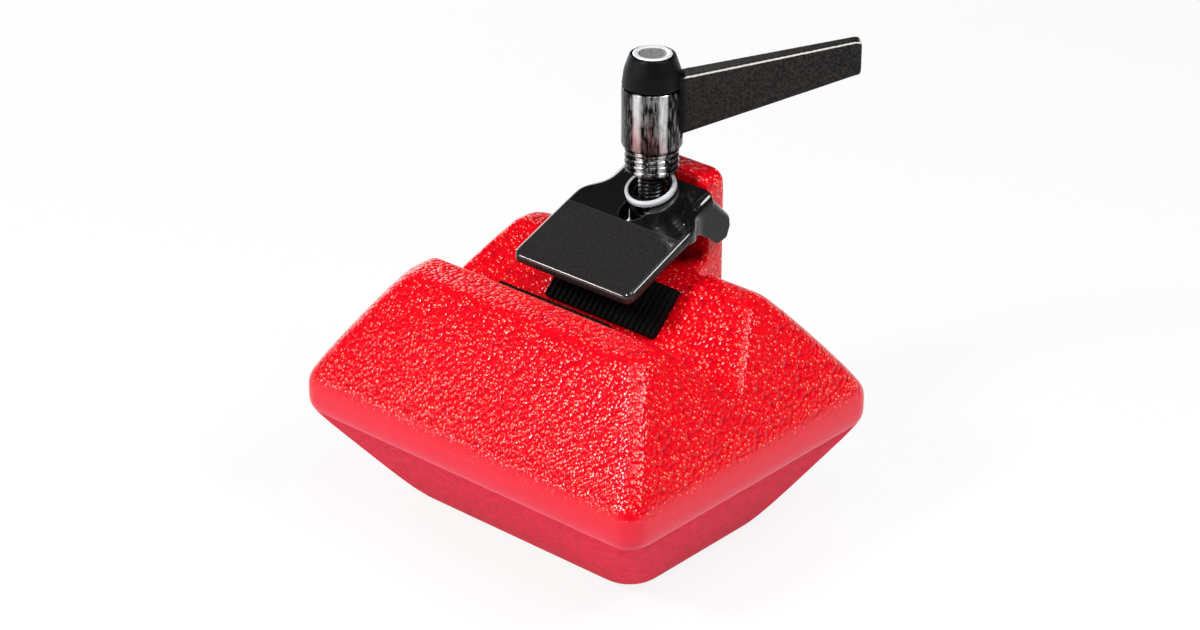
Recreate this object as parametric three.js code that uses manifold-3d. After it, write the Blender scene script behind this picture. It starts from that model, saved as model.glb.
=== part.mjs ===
// A cast iron stage weight that clamps on a tube: the tube lies in the groove across its top,
// and a stamped plate is pulled down on it by a screw with an indexing lever.
// Millimetres. X runs along the groove, Y to the back, Z up; the origin is the middle of the base.
import * as THREE from "three";
import { mergeVertices } from "three/addons/utils/BufferGeometryUtils.js";
import Module from "manifold-3d";

const wasm = await Module();
wasm.setup();

// Running gap between pieces that touch, and how far a cut runs past what it cuts
const gap = 0.3;
const overrun = 12;

// Casting: base, widest band and ridge
const baseLength = 85.4;
const baseDepth = 54.4;
const baseCorner = 9.5;
const bandLength = 130.5;
const bandDepth = 107.2;
const bandCorner = 6;
const bandStart = 32.1;
const bandHeight = 9.8;
const bandRound = 2.4;
const flareEase = 3.6;
const ridgeLength = 90.8;
const ridgeDepth = 57.8;
const ridgeCorner = 5;
const ridgeHeight = 74.3;
const ridgeRound = 2.6;
const slopeBow = 0.6;

// Points that bend the flare under the band, as shares of its spread and of its rise
const flareLowShares = [0.12, 0];
const flareHighShares = [0.3, 0.22];

// Casting: groove for the tube and the pockets of its two pads
const grooveY = 1.5;
const grooveWidth = 36.9;
const grooveDepth = 18.2;
const grooveRootRadius = 1.6;
const padLength = 42.4;
const padThickness = 2.8;
const padProud = 1.3;
const padStart = 6;
const frontPadDrop = 1.3;
const rearPadRise = 1.6;
const ribPitch = 2.1;
const ribWidth = 1.2;
const ribHeight = 0.8;

// Casting: ledge behind the rear pad and the post that keeps the plate square
const ledgeDrop = 3.3;
const postWidth = 28;
const postThickness = 8.1;
const postFront = 38;
const postRise = 24.2;
const postCorner = 4.5;
const postFoot = 2.4;

// Clamp screw: an M8 stud with its tapped hole in the casting
const studRadius = 4;
const studReach = 40;
const studHold = 11.6;
const threadPitch = 1.25;
const threadDepth = 0.6;
const screwY = 29.1;
const tapDepth = 21;
const neckClearance = 2.451;

// Clamp plate: stamped sheet with a turned lip, a slot and two ears
const plateFrontY = -6.5;
const plateFrontLift = 4.9;
const plateFrontSlope = 0.393;
const plateRearSlope = 0.383;
const plateFrontWidth = 45.8;
const plateRearWidth = 45;
const plateCreaseY = 16.4;
const plateShoulderY = 26.5;
const plateBehind = 1.7;
const plateThickness = 2.2;
const plateLip = 3.2;
const plateCorner = 2.5;
const shoulderRadius = 5;
const slotClearance = 0.35;
const slotRear = 4.8;
const earClearance = 1.6;
const earRadius = 3.5;
const earBackReach = 7.7;
const earBackDrop = 9.7;
const earLowReach = 2;
const earLowDrop = 17.7;
const earFrontReach = -2.2;
const earFrontDrop = 14.6;
const earNotchReach = -6.8;
const earNotchDrop = 7.4;

// Dished washer on the plate, flat washer and spring under it
const dishRadius = 7.8;
const dishClearance = 1.1;
const dishThickness = 1.2;
const dishHeight = 1.9;
const dishRim = 0.7;
const seatRadius = 6.5;
const seatClearance = 0.4;
const seatThickness = 1.5;
const springClearance = 0.65;
const springWire = 1.2;
const springTurns = 4;

// Lever: threaded insert, sleeve, handle, spring, screw and cap
const neckRadius = 8;
const neckHeight = 7.5;
const neckGrooves = 3;
const neckGrooveDepth = 0.5;
const crownClearance = 0.4;
const crownHeight = 11.5;
const crownTeeth = 24;
const crownTooth = 0.6;
const coreWall = 1.2;
const sleeveWall = 0.8;
const sleeveRadius = 9;
const sleeveHeight = 18.8;
const sleeveChamfer = 0.9;
const hubRise = 9.9;
const hubTopRadius = 6.7;
const hubBelly = 0.5;
const webThickness = 2;
const screwRadius = 2.2;
const screwHeadRadius = 4.2;
const screwHeadHeight = 3;
const screwHold = 5;
const screwDrop = 0.55;
const liftTravel = 4;
const returnRadius = 3.3;
const returnWire = 0.7;
const returnTurns = 3;
const hubRim = 0.9;
const capHeight = 2.6;
const capRim = 0.6;

// Lever arm
const armAngle = 43.5;
const armReach = 60;
const armRootRise = 3.8;
const armRootHeight = 19.3;
const armRootThickness = 7.7;
const armTipRise = 9.4;
const armTipHeight = 10.7;
const armTipThickness = 4.9;
const armEdge = 0.8;
const armTipRadius = 1.6;

// Places worked out from the sizes above
const bandEnd = bandStart + bandHeight;
const ledgeZ = ridgeHeight - ledgeDrop;
const grooveHalf = grooveWidth / 2;
const grooveApexZ = ridgeHeight - grooveDepth;
const grooveAngle = Math.atan2(grooveDepth, grooveHalf);
const grooveSide = Math.hypot(grooveDepth, grooveHalf);
const pocketDepth = padThickness - padProud + gap;
const padLean = padProud * Math.cos(grooveAngle);
const padEndAt = (height) => (height - grooveApexZ - padLean) / Math.sin(grooveAngle);
const frontPadEnd = padEndAt(ridgeHeight - frontPadDrop);
const rearPadEnd = padEndAt(ledgeZ + rearPadRise);
const postBack = postFront + postThickness;
const postHeight = ridgeHeight + postRise;
const plateRearY = postFront - plateBehind;
const plateFrontZ = ridgeHeight + plateFrontLift;
const plateCreaseZ = plateFrontZ + (plateCreaseY - plateFrontY) * plateFrontSlope;
const plateAt = (y) => plateCreaseZ + (y - plateCreaseY) * plateRearSlope;
const plateTilt = Math.atan(plateRearSlope);
const plateFall = plateThickness / Math.cos(plateTilt);
const slotWidth = 2 * (studRadius + slotClearance);
const earSpan = postWidth + 2 * (plateThickness + earClearance);
const dishBore = studRadius + dishClearance;
const dishFootZ = plateAt(screwY) + gap / Math.cos(plateTilt);
const dishTopZ = dishFootZ + dishRadius * Math.sin(plateTilt) + dishHeight * Math.cos(plateTilt);
const seatBore = studRadius + seatClearance;
const seatTop = plateAt(screwY - seatRadius) - plateFall - gap;
const seatBottom = seatTop - seatThickness;
const springRadius = studRadius + springClearance + springWire / 2;
const neckStart = dishTopZ + neckClearance;
const sleeveStart = neckStart + neckHeight;
const sleeveEnd = sleeveStart + sleeveHeight;
const coreRadius = sleeveRadius - sleeveWall - gap;
const crownRadius = coreRadius - coreWall - crownClearance;
const crownTop = sleeveStart + crownHeight;
const webBottom = crownTop + gap;
const webTop = webBottom + webThickness;
const hubTop = sleeveEnd + hubRise;
const capRadius = hubTopRadius - hubRim;
const capBottom = hubTop - capHeight;
const screwTop = capBottom - screwDrop;
const screwHeadBottom = screwTop - screwHeadHeight;
const studBottom = neckStart - studReach;
const studTop = neckStart + studHold;
const armRootBottom = sleeveStart + armRootRise;
const armRootTop = armRootBottom + armRootHeight;
const armTipTop = armRootTop + armTipRise;
const armTipBottom = armTipTop - armTipHeight;

// Finishes
const castRed = new THREE.MeshStandardMaterial({ color: "#d8140f", roughness: 0.45, metalness: 0 });
const padBlack = new THREE.MeshStandardMaterial({ color: "#171615", roughness: 0.85, metalness: 0 });
const plateBlack = new THREE.MeshStandardMaterial({ color: "#2a2927", roughness: 0.4, metalness: 0.3 });
const chromeSteel = new THREE.MeshStandardMaterial({ color: "#dfe3e6", roughness: 0.1, metalness: 1 });
const turnedSteel = new THREE.MeshStandardMaterial({ color: "#8d8f90", roughness: 0.25, metalness: 1 });
const darkSteel = new THREE.MeshStandardMaterial({ color: "#4a4b4d", roughness: 0.4, metalness: 1 });
const leverBlack = new THREE.MeshStandardMaterial({ color: "#222120", roughness: 0.6, metalness: 0.1 });

// A closed three.js geometry as a solid that can be joined and cut
function solidOf(geometry) {
  const bare = geometry.clone();
  bare.deleteAttribute("normal");
  bare.deleteAttribute("uv");
  const merged = mergeVertices(bare, 1e-4);
  return new wasm.Manifold(
    new wasm.Mesh({
      numProp: 3,
      vertProperties: merged.attributes.position.array,
      triVerts: new Uint32Array(merged.index.array),
    }),
  );
}

// The solid back as a three.js geometry with flat faces
function geometryOf(solid) {
  const made = solid.getMesh();
  const geometry = new THREE.BufferGeometry();
  geometry.setAttribute("position", new THREE.BufferAttribute(made.vertProperties, made.numProp));
  geometry.setIndex(new THREE.BufferAttribute(made.triVerts, 1));
  const faceted = geometry.toNonIndexed();
  faceted.computeVertexNormals();
  return faceted;
}

const forward = new THREE.Vector3(0, 1, 0);
const upward = new THREE.Vector3(0, 0, 1);
const sideways = new THREE.Vector3(1, 0, 0);

// An outline in Y and Z, extruded along X and centred on it
function alongX(outline, length) {
  const geometry = new THREE.ExtrudeGeometry(outline, { depth: length, bevelEnabled: false });
  geometry.translate(0, 0, -length / 2);
  geometry.applyMatrix4(new THREE.Matrix4().makeBasis(forward, upward, sideways));
  return geometry;
}

// An outline in X and Z, extruded along Y from a start to an end
function alongY(outline, start, end) {
  const geometry = new THREE.ExtrudeGeometry(outline, { depth: end - start, bevelEnabled: false });
  geometry.rotateX(Math.PI / 2);
  geometry.translate(0, end, 0);
  return geometry;
}

// An outline in X and Y, extruded along Z from a start to an end
function alongZ(outline, start, end) {
  const geometry = new THREE.ExtrudeGeometry(outline, { depth: end - start, bevelEnabled: false });
  geometry.translate(0, 0, start);
  return geometry;
}

// A profile of radius and height, turned about the vertical line through the screw's axis
function turned(profile, segments = 40) {
  const points = profile.map(([radius, height]) => new THREE.Vector2(radius, height));
  const geometry = new THREE.LatheGeometry(points, segments);
  geometry.rotateX(Math.PI / 2);
  return geometry;
}

function rod(radius, bottom, top, segments = 40) {
  return turned([[0, bottom], [radius, bottom], [radius, top], [0, top]], segments);
}

function outlineOf(points) {
  return new THREE.Shape(points.map(([across, up]) => new THREE.Vector2(across, up)));
}

// The upper and lower ends of an outline cut a rounded rectangle's corners alike
function roundedRectangle(left, bottom, right, top, radius) {
  const outline = new THREE.Shape();
  outline.moveTo(left + radius, bottom);
  outline.lineTo(right - radius, bottom);
  outline.absarc(right - radius, bottom + radius, radius, -Math.PI / 2, 0, false);
  outline.lineTo(right, top - radius);
  outline.absarc(right - radius, top - radius, radius, 0, Math.PI / 2, false);
  outline.lineTo(left + radius, top);
  outline.absarc(left + radius, top - radius, radius, Math.PI / 2, Math.PI, false);
  outline.lineTo(left, bottom + radius);
  outline.absarc(left + radius, bottom + radius, radius, Math.PI, (3 * Math.PI) / 2, false);
  return outline;
}

// Points of a rounded rectangle, anticlockwise, as many for every size
function ringPoints(halfLength, halfDepth, corner, steps) {
  const points = [];
  for (let quarter = 0; quarter < 4; quarter++) {
    const right = quarter === 0 || quarter === 3 ? 1 : -1;
    const back = quarter < 2 ? 1 : -1;
    for (let step = 0; step <= steps; step++) {
      const angle = (quarter + step / steps) * (Math.PI / 2);
      points.push([
        right * (halfLength - corner) + corner * Math.cos(angle),
        back * (halfDepth - corner) + corner * Math.sin(angle),
      ]);
    }
  }
  return points;
}

// A level of the casting: a rounded rectangle at a height
function levelAt(height, length, depth, corner) {
  return { height, halfLength: length / 2, halfDepth: depth / 2, corner };
}

function between(low, high, share) {
  const level = {};
  for (const key of Object.keys(low)) level[key] = THREE.MathUtils.lerp(low[key], high[key], share);
  return level;
}

// Levels that round the corner between two sloping stretches
function softCorner(before, corner, after, steps) {
  const levels = [];
  for (let step = 0; step <= steps; step++) {
    const share = step / steps;
    levels.push(between(between(before, corner, share), between(corner, after, share), share));
  }
  return levels;
}

// The casting's outer form: a stack of rounded rectangles from the base to the ridge
function castingForm() {
  const base = levelAt(0, baseLength, baseDepth, baseCorner);
  const bandLow = levelAt(bandStart, bandLength, bandDepth, bandCorner);
  const bandHigh = levelAt(bandEnd, bandLength, bandDepth, bandCorner);
  const ridge = levelAt(ridgeHeight, ridgeLength, ridgeDepth, ridgeCorner);
  const inside = levelAt(
    ridgeHeight,
    ridgeLength - 2 * ridgeRound,
    ridgeDepth - 2 * ridgeRound,
    ridgeCorner,
  );
  const slopeRise = ridgeHeight - bandEnd;
  const flareBend = new THREE.CubicBezierCurve(
    new THREE.Vector2(0, 0),
    new THREE.Vector2(...flareLowShares),
    new THREE.Vector2(...flareHighShares),
    new THREE.Vector2(1, 1),
  );
  const flareSteps = 14;
  const flare = [];
  for (let step = 0; step <= flareSteps; step++) {
    const share = flareBend.getPoint(step / flareSteps);
    if (share.y * bandStart > bandStart - flareEase) break;
    const level = between(base, bandLow, share.x);
    level.height = bandStart * share.y;
    flare.push(level);
  }
  const slope = [];
  const slopeSteps = 5;
  const cornerLevels = 3;
  for (let step = 1; step < slopeSteps; step++) {
    const share = step / slopeSteps;
    const level = between(bandHigh, ridge, share);
    const bow = 4 * slopeBow * share * (1 - share);
    level.halfLength += bow;
    level.halfDepth += bow;
    slope.push(level);
  }
  const bandShare = bandRound / bandHeight;
  const levels = [
    ...flare,
    ...softCorner(
      between(base, bandLow, 1 - bandRound / bandStart),
      bandLow,
      between(bandLow, bandHigh, bandShare),
      cornerLevels,
    ),
    ...softCorner(
      between(bandLow, bandHigh, 1 - bandShare),
      bandHigh,
      between(bandHigh, ridge, bandRound / slopeRise),
      cornerLevels,
    ),
    ...slope,
    ...softCorner(between(bandHigh, ridge, 1 - ridgeRound / slopeRise), ridge, inside, cornerLevels + 1),
  ];
  const cornerSteps = 6;
  const rings = levels.map((level) =>
    ringPoints(level.halfLength, level.halfDepth, level.corner, cornerSteps),
  );
  const heights = [0, ...levels.map((level) => level.height), ridgeHeight];
  const ringSize = rings[0].length;
  const profile = heights.map((height, index) => {
    const pole = index === 0 || index === heights.length - 1;
    return [pole ? 0 : bandLength / 2, height];
  });
  const geometry = turned(profile, ringSize);
  const position = geometry.attributes.position;
  for (let index = 0; index < position.count; index++) {
    const level = index % heights.length;
    const turn = Math.floor(index / heights.length) % ringSize;
    const pole = level === 0 || level === heights.length - 1;
    const [x, y] = pole ? [0, 0] : rings[level - 1][turn];
    position.setXYZ(index, x, y, heights[level]);
  }
  return solidOf(geometry);
}

// The groove: a V with a small round root, open along the whole casting
function grooveCut() {
  const reach = grooveHalf + overrun * (grooveHalf / grooveDepth);
  const rootSpan = grooveRootRadius * Math.sin(grooveAngle);
  const rootZ = grooveApexZ + rootSpan * Math.tan(grooveAngle);
  const centreZ = rootZ + grooveRootRadius * Math.cos(grooveAngle);
  const outline = new THREE.Shape();
  outline.moveTo(grooveY - reach, ridgeHeight + overrun);
  outline.lineTo(grooveY - rootSpan, rootZ);
  const start = -Math.PI / 2 - grooveAngle;
  outline.absarc(grooveY, centreZ, grooveRootRadius, start, start + 2 * grooveAngle, false);
  outline.lineTo(grooveY + reach, ridgeHeight + overrun);
  return solidOf(alongX(outline, bandLength + overrun));
}

// A place on a face of the groove: side is -1 in front and 1 behind, up runs along the face
// and deep goes into the casting
function faceSpot(side, up, deep) {
  const cos = Math.cos(grooveAngle);
  const sin = Math.sin(grooveAngle);
  return [grooveY + side * (up * cos + deep * sin), grooveApexZ + up * sin - deep * cos];
}

// A block sunk into a face of the groove
function faceBlock(side, start, end, from, to, length) {
  const outline = outlineOf([
    faceSpot(side, start, from),
    faceSpot(side, end, from),
    faceSpot(side, end, to),
    faceSpot(side, start, to),
  ]);
  return solidOf(alongX(outline, length));
}

// The ledge: the ridge is cut down behind the rear pad, and its two ends stay quarter round
function ledgeCut() {
  const half = padLength / 2;
  const outline = new THREE.Shape();
  outline.moveTo(-half, ledgeZ);
  outline.lineTo(half, ledgeZ);
  outline.absarc(half + ledgeDrop, ledgeZ, ledgeDrop, Math.PI, Math.PI / 2, true);
  outline.lineTo(half + ledgeDrop, ridgeHeight + overrun);
  outline.lineTo(-half - ledgeDrop, ridgeHeight + overrun);
  outline.lineTo(-half - ledgeDrop, ridgeHeight);
  outline.absarc(-half - ledgeDrop, ledgeZ, ledgeDrop, Math.PI / 2, 0, true);
  return solidOf(alongY(outline, grooveY, bandDepth / 2));
}

// The post with its rounded top corners, and the foot that joins it to the ledge
function postForm() {
  const half = postWidth / 2;
  const front = roundedRectangle(-half, bandEnd, half, postHeight, postCorner);
  const post = solidOf(alongY(front, postFront, postBack));
  const foot = new THREE.Shape();
  foot.moveTo(postFront + postThickness / 2, bandEnd + postCorner);
  foot.lineTo(postFront + postThickness / 2, ledgeZ + postFoot);
  foot.lineTo(postFront, ledgeZ + postFoot);
  foot.absarc(postFront - postFoot, ledgeZ + postFoot, postFoot, 0, -Math.PI / 2, true);
  foot.lineTo(grooveY + grooveHalf, ledgeZ);
  foot.lineTo(grooveY + grooveHalf, bandEnd + postCorner);
  return post.add(solidOf(alongX(foot, postWidth)));
}

function weightBody() {
  const frontEnd = frontPadEnd + gap;
  const tap = solidOf(rod(studRadius + gap, ledgeZ - tapDepth, ledgeZ + gap));
  return castingForm()
    .subtract(ledgeCut())
    .add(postForm())
    .subtract(grooveCut())
    .subtract(faceBlock(-1, padStart, frontEnd, -padProud, pocketDepth, padLength))
    .subtract(faceBlock(1, padStart, grooveSide, -padProud, pocketDepth, padLength))
    .subtract(tap.translate([0, screwY, 0]));
}

// A rubber pad with ribs that run up the face of the groove
function jawPad(side, end) {
  const length = padLength - 2 * gap;
  const start = padStart + gap;
  const back = padThickness - padProud;
  let pad = faceBlock(side, start, end, -padProud, back, length);
  const count = Math.floor(length / ribPitch);
  for (let index = 0; index <= count; index++) {
    const valley = faceBlock(
      side,
      start - overrun,
      end + overrun,
      -padProud - ribHeight,
      ribHeight - padProud,
      ribPitch - ribWidth,
    );
    pad = pad.subtract(valley.translate([(index - count / 2) * ribPitch, 0, 0]));
  }
  return pad;
}

// The plate's side view, as thick as asked, from its front edge to the place given
function plateSide(thick, end) {
  return outlineOf([
    [plateFrontY, plateFrontZ],
    [plateFrontY, plateFrontZ - thick],
    [plateCreaseY, plateCreaseZ - thick],
    [end, plateAt(end) - thick],
    [end, plateAt(end)],
    [plateCreaseY, plateCreaseZ],
  ]);
}

// The plate's plan as far as its shoulders, drawn in by the amount given
function platePlan(inset) {
  const frontHalf = plateFrontWidth / 2 - inset;
  const rearHalf = plateRearWidth / 2 - inset;
  const frontY = plateFrontY + inset;
  const endY = plateShoulderY - inset;
  const corner = plateCorner;
  const shoulder = shoulderRadius;
  const plan = new THREE.Shape();
  plan.moveTo(-frontHalf + corner, frontY);
  plan.lineTo(frontHalf - corner, frontY);
  plan.absarc(frontHalf - corner, frontY + corner, corner, -Math.PI / 2, 0, false);
  plan.lineTo(rearHalf, endY - shoulder);
  plan.absarc(rearHalf - shoulder, endY - shoulder, shoulder, 0, Math.PI / 2, false);
  plan.lineTo(-rearHalf + shoulder, endY);
  plan.absarc(-rearHalf + shoulder, endY - shoulder, shoulder, Math.PI / 2, Math.PI, false);
  plan.lineTo(-frontHalf, frontY + corner);
  plan.absarc(-frontHalf + corner, frontY + corner, corner, Math.PI, 1.5 * Math.PI, false);
  return plan;
}

// The rear of the plate: a channel with round shoulders that turn down into the two ears
function plateChannel() {
  const channel = new THREE.Shape();
  const outer = earSpan / 2;
  const inner = outer - plateThickness;
  const fall = -earLowDrop - plateLip;
  const bend = earRadius - plateThickness;
  channel.moveTo(-outer, fall);
  channel.lineTo(-inner, fall);
  channel.lineTo(-inner, -earRadius);
  channel.absarc(-outer + earRadius, -earRadius, bend, Math.PI, Math.PI / 2, true);
  channel.absarc(outer - earRadius, -earRadius, bend, Math.PI / 2, 0, true);
  channel.lineTo(inner, fall);
  channel.lineTo(outer, fall);
  channel.lineTo(outer, -earRadius);
  channel.absarc(outer - earRadius, -earRadius, earRadius, 0, Math.PI / 2, false);
  channel.absarc(-outer + earRadius, -earRadius, earRadius, Math.PI / 2, Math.PI, false);
  const start = plateShoulderY - plateThickness;
  const geometry = alongY(channel, start, plateRearY + earBackReach);
  const position = geometry.attributes.position;
  for (let index = 0; index < position.count; index++) {
    position.setZ(index, position.getZ(index) + plateAt(position.getY(index)));
  }
  const rearZ = plateAt(plateRearY);
  const side = outlineOf([
    [start, rearZ + overrun],
    [start, plateAt(start) - plateLip],
    [plateRearY + earNotchReach, rearZ - earNotchDrop],
    [plateRearY + earFrontReach, rearZ - earFrontDrop],
    [plateRearY + earLowReach, rearZ - earLowDrop],
    [plateRearY + earBackReach, rearZ - earBackDrop],
    [plateRearY, rearZ],
    [plateRearY, rearZ + overrun],
  ]);
  return solidOf(geometry).intersect(solidOf(alongX(side, plateFrontWidth)));
}

// The slot for the stud, from behind the screw's axis forward to the crease
function slotCut() {
  const half = slotWidth / 2;
  const slot = roundedRectangle(-half, plateCreaseY, half, screwY + slotRear, half);
  return solidOf(alongZ(slot, plateFrontZ - plateLip, postHeight + overrun));
}

function clampPlate() {
  const top = postHeight + overrun;
  const sheet = solidOf(alongX(plateSide(plateLip, plateShoulderY), plateFrontWidth))
    .intersect(solidOf(alongZ(platePlan(0), ledgeZ, top)));
  const hollowSide = plateSide(overrun, plateShoulderY);
  const hollow = solidOf(alongX(hollowSide, plateFrontWidth))
    .translate([0, 0, -plateFall])
    .intersect(solidOf(alongZ(platePlan(plateThickness), ledgeZ - overrun, top)));
  const opened = solidOf(alongX(outlineOf([
    [plateShoulderY - plateThickness, ledgeZ],
    [plateShoulderY + plateThickness, ledgeZ],
    [plateShoulderY + plateThickness, plateAt(plateShoulderY) - plateFall],
    [plateShoulderY - plateThickness, plateAt(plateShoulderY - plateThickness) - plateFall],
  ]), earSpan - 2 * plateThickness));
  return sheet.subtract(hollow).subtract(opened).add(plateChannel()).subtract(slotCut());
}

// Sets a turned piece square on the plate, at the screw's axis
function onPlate(solid) {
  return solid
    .rotate([THREE.MathUtils.radToDeg(plateTilt), 0, 0])
    .translate([0, screwY, dishFootZ]);
}

function dishedWasher() {
  const foot = dishRadius - dishThickness;
  return onPlate(solidOf(turned([
    [dishBore, 0],
    [foot, 0],
    [dishRadius, dishThickness - dishRim],
    [dishRadius, dishHeight],
    [dishRadius - dishRim, dishHeight],
    [foot, dishThickness],
    [dishBore, dishThickness],
    [dishBore, 0],
  ])));
}

function springWasher() {
  const disc = solidOf(rod(seatRadius, seatBottom, seatTop));
  const bore = solidOf(rod(seatBore, seatBottom - overrun, seatTop + overrun));
  return disc.subtract(bore);
}

// One unbroken tube wound as a helix, with its two ends turned flat on its seats
function windSpring(label, radius, wire, turns, bottom, top) {
  const stepsPerTurn = 8;
  const sides = 5;
  const closedTurns = 0.75;
  const closedShare = 0.9;
  const low = bottom + wire / 2;
  const high = top - wire / 2;
  const wholeTurns = turns + 2 * closedTurns;
  const steps = Math.round(wholeTurns * stepsPerTurn);
  const rise = high - low;
  const closedRise = wire * closedShare;
  const heightAt = (turn) => {
    if (turn < closedTurns) return low + closedRise * (turn / closedTurns);
    if (turn > wholeTurns - closedTurns) return high - closedRise * ((wholeTurns - turn) / closedTurns);
    return low + closedRise + (rise - 2 * closedRise) * ((turn - closedTurns) / turns);
  };
  const spots = [];
  for (let step = 0; step <= steps; step++) {
    const turn = (step / steps) * wholeTurns;
    const angle = turn * 2 * Math.PI;
    spots.push(new THREE.Vector3(radius * Math.cos(angle), radius * Math.sin(angle), heightAt(turn)));
  }
  let least = Infinity;
  const half = Math.ceil(stepsPerTurn / 2);
  spots.forEach((spot, index) => {
    for (const other of spots.slice(index + half)) least = Math.min(least, spot.distanceTo(other) - wire);
  });
  console.log(label + " least gap to itself " + least.toFixed(2) + " mm");
  const places = [];
  spots.forEach((spot, index) => {
    const angle = (index / steps) * wholeTurns * 2 * Math.PI;
    for (let side = 0; side < sides; side++) {
      const around = (side / sides) * 2 * Math.PI;
      const out = radius + (wire / 2) * Math.cos(around);
      places.push(out * Math.cos(angle), out * Math.sin(angle), spot.z + (wire / 2) * Math.sin(around));
    }
  });
  const faces = [];
  for (let step = 0; step < steps; step++) {
    for (let side = 0; side < sides; side++) {
      const next = (side + 1) % sides;
      const a = step * sides + side;
      const b = step * sides + next;
      faces.push(a, a + sides, b, b, a + sides, b + sides);
    }
  }
  const last = steps * sides;
  for (let side = 1; side < sides - 1; side++) {
    faces.push(0, side, side + 1);
    faces.push(last, last + side + 1, last + side);
  }
  const geometry = new THREE.BufferGeometry();
  geometry.setAttribute("position", new THREE.Float32BufferAttribute(places, 3));
  geometry.setIndex(faces);
  return solidOf(geometry);
}

// The stud: threaded where it shows between the plate and the neck, plain where it is held
function leverStud() {
  const profile = [[0, studBottom], [studRadius - threadDepth, studBottom]];
  const tip = studBottom + threadDepth;
  profile.push([studRadius, tip]);
  const crests = Math.floor((neckStart - seatTop) / threadPitch);
  for (let crest = crests; crest > 0; crest--) {
    const top = neckStart - crest * threadPitch;
    profile.push([studRadius, top]);
    profile.push([studRadius - threadDepth, top + threadPitch / 2]);
  }
  profile.push([studRadius, neckStart], [studRadius, studTop], [0, studTop]);
  return solidOf(turned(profile, 24));
}

// The insert: a neck with turned grooves, and a toothed crown inside the hub
function leverInsert() {
  const step = neckHeight / (neckGrooves + 1);
  const profile = [[0, neckStart], [neckRadius - neckGrooveDepth, neckStart]];
  profile.push([neckRadius, neckStart + neckGrooveDepth]);
  for (let groove = 1; groove <= neckGrooves; groove++) {
    const middle = neckStart + groove * step;
    profile.push([neckRadius, middle - neckGrooveDepth]);
    profile.push([neckRadius - neckGrooveDepth, middle - neckGrooveDepth / 2]);
    profile.push([neckRadius - neckGrooveDepth, middle + neckGrooveDepth / 2]);
    profile.push([neckRadius, middle + neckGrooveDepth]);
  }
  profile.push([neckRadius, sleeveStart - gap], [0, sleeveStart - gap]);
  const points = [];
  for (let tooth = 0; tooth < 2 * crownTeeth; tooth++) {
    const radius = tooth % 2 ? crownRadius : crownRadius - crownTooth;
    const angle = (tooth / crownTeeth) * Math.PI;
    points.push([radius * Math.cos(angle), radius * Math.sin(angle)]);
  }
  const crown = solidOf(alongZ(outlineOf(points), sleeveStart - 2 * gap, crownTop));
  return solidOf(turned(profile))
    .add(crown)
    .subtract(solidOf(rod(studRadius + gap, neckStart - overrun, studTop + gap)))
    .subtract(solidOf(rod(screwRadius + gap, crownTop - screwHold - gap, crownTop + overrun, 24)));
}

// The retaining screw that holds the handle down on the insert
function leverScrew() {
  return solidOf(turned([
    [0, crownTop - screwHold],
    [screwRadius, crownTop - screwHold],
    [screwRadius, screwHeadBottom],
    [screwHeadRadius, screwHeadBottom],
    [screwHeadRadius, screwTop],
    [0, screwTop],
  ], 24));
}

// The arm's side view, drawn out from the screw's axis
function armOutline() {
  const root = crownRadius;
  const shoulder = sleeveRadius + armEdge;
  const outline = new THREE.Shape();
  outline.moveTo(root, armRootBottom);
  outline.lineTo(armReach - armTipRadius, armTipBottom);
  outline.quadraticCurveTo(armReach, armTipBottom, armReach, armTipBottom + armTipRadius);
  outline.lineTo(armReach, armTipTop - armTipRadius);
  outline.quadraticCurveTo(armReach, armTipTop, armReach - armTipRadius, armTipTop);
  outline.lineTo(shoulder + armTipRadius, armRootTop);
  outline.quadraticCurveTo(shoulder, armRootTop, root, armRootTop - armTipRadius);
  return outline;
}

// The arm: thick at the hub and thin at the tip, with softened long edges
function leverArm() {
  const geometry = new THREE.ExtrudeGeometry(armOutline(), {
    depth: armRootThickness - 2 * armEdge,
    bevelThickness: armEdge,
    bevelSize: armEdge,
    bevelOffset: -armEdge,
    bevelSegments: 2,
    curveSegments: 4,
  });
  geometry.translate(0, 0, armEdge - armRootThickness / 2);
  const position = geometry.attributes.position;
  const tipShare = armTipThickness / armRootThickness;
  for (let index = 0; index < position.count; index++) {
    const outShare = position.getX(index) / armReach;
    position.setZ(index, position.getZ(index) * THREE.MathUtils.lerp(1, tipShare, outShare));
  }
  geometry.rotateX(Math.PI / 2);
  return solidOf(geometry);
}

// The handle: a core inside the sleeve, the tapered hub above it and the arm
function leverHandle() {
  const core = coreRadius - coreWall;
  const middle = (sleeveEnd + gap + hubTop) / 2;
  const middleRadius = (sleeveRadius + hubTopRadius) / 2 + hubBelly;
  const shell = solidOf(turned([
    [0, sleeveStart + sleeveChamfer],
    [coreRadius, sleeveStart + sleeveChamfer],
    [coreRadius, sleeveEnd + gap],
    [sleeveRadius, sleeveEnd + gap],
    [middleRadius, middle],
    [hubTopRadius, hubTop],
    [0, hubTop],
  ]));
  const hollow = solidOf(rod(core, sleeveStart - overrun, webBottom, 32));
  const spring = solidOf(rod(screwHeadRadius + gap, webTop, hubTop + overrun, 32));
  const seat = solidOf(rod(capRadius + gap, capBottom - gap, hubTop + overrun));
  const bore = solidOf(rod(screwRadius + gap, webBottom - overrun, webTop + overrun, 24));
  return shell
    .add(leverArm())
    .subtract(hollow)
    .subtract(spring)
    .subtract(seat)
    .subtract(bore)
    .rotate([0, 0, armAngle]);
}

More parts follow.
